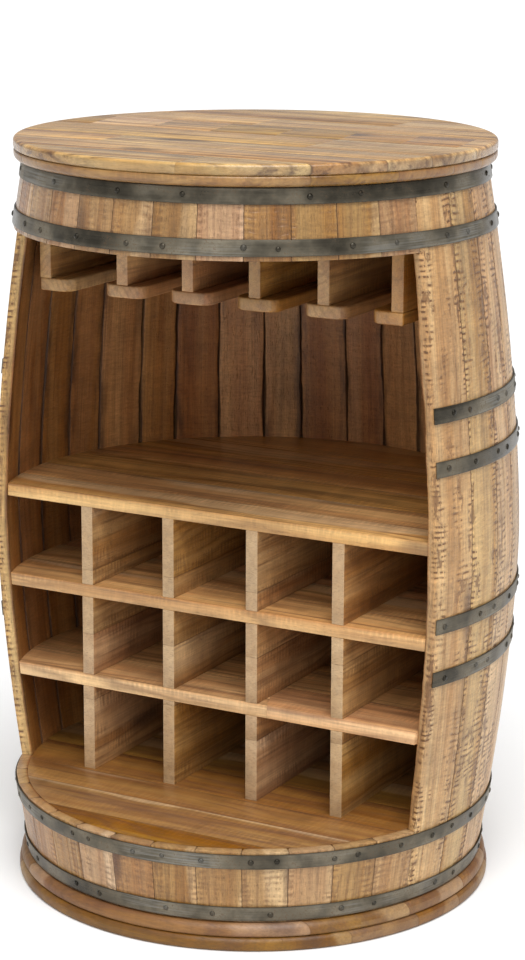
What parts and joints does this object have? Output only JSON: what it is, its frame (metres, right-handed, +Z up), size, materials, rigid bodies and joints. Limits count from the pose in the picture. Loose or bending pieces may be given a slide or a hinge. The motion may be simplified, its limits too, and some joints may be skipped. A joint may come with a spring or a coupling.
{
  "type": "barrel wine rack",
  "caption": "Free-standing barrel-shaped wooden wine rack with iron hoops, a round top, hanging glass rails, a counter shelf and a grid of bottle bays.",
  "frame": {"origin": "on the ground at the barrel's axis, in the middle of the round plinth", "axes": "+Z up along the barrel's axis; the opening faces -Y; +X is to the right of a person facing the opening"},
  "size_m": [0.7122, 0.6815, 1],
  "materials": {
    "stave_wood": "rough-sawn mango wood, waxed",
    "short_stave_wood": "planed mango wood, waxed",
    "top_wood": "planed mango wood, satin lacquer",
    "moulding_wood": "turned mango wood, satin lacquer",
    "board_wood": "planed mango wood, satin lacquer",
    "divider_wood": "sawn mango wood, waxed",
    "rail_wood": "sawn mango wood, waxed",
    "hoop_iron": "dark waxed strip iron",
    "nail_iron": "dark hammered nail heads"
  },
  "bodies": {
    "root": {"stave_01": "stave_wood", "stave_02": "stave_wood", "stave_03": "stave_wood", "stave_04": "stave_wood", "stave_05": "stave_wood", "stave_06": "stave_wood", "stave_07": "stave_wood", "stave_08": "stave_wood", "stave_09": "stave_wood", "stave_10": "stave_wood", "stave_11": "stave_wood", "stave_12": "stave_wood", "stave_13": "stave_wood", "stave_14": "stave_wood", "stave_15": "stave_wood", "stave_16": "stave_wood", "stave_17": "stave_wood", "stave_18": "stave_wood", "stave_19": "stave_wood", "stave_20": "stave_wood", "stave_21": "stave_wood", "upper_front_staves": "short_stave_wood", "lower_front_staves": "short_stave_wood", "hoop_1": "hoop_iron", "hoop_2": "hoop_iron", "hoop_3": "hoop_iron", "hoop_4": "hoop_iron", "hoop_5": "hoop_iron", "hoop_6": "hoop_iron", "hoop_7": "hoop_iron", "hoop_8": "hoop_iron", "nails_full_hoops": "nail_iron", "nails_side_hoops": "nail_iron", "table_top": "top_wood", "table_moulding": "moulding_wood", "ceiling_board": "board_wood", "floor_board": "board_wood", "plinth_upper": "moulding_wood", "plinth_base": "moulding_wood", "counter_shelf": "board_wood", "upper_bottle_shelf": "board_wood", "lower_bottle_shelf": "board_wood", "divider_1": "divider_wood", "divider_2": "divider_wood", "divider_3": "divider_wood", "divider_4": "divider_wood", "rail_web_1": "rail_wood", "rail_web_2": "rail_wood", "rail_web_3": "rail_wood", "rail_web_4": "rail_wood", "rail_web_5": "rail_wood", "rail_web_6": "rail_wood", "rail_flange_1": "rail_wood", "rail_flange_2": "rail_wood", "rail_flange_3": "rail_wood", "rail_flange_4": "rail_wood", "rail_flange_5": "rail_wood", "rail_flange_6": "rail_wood"}
  },
  "joints": []
}
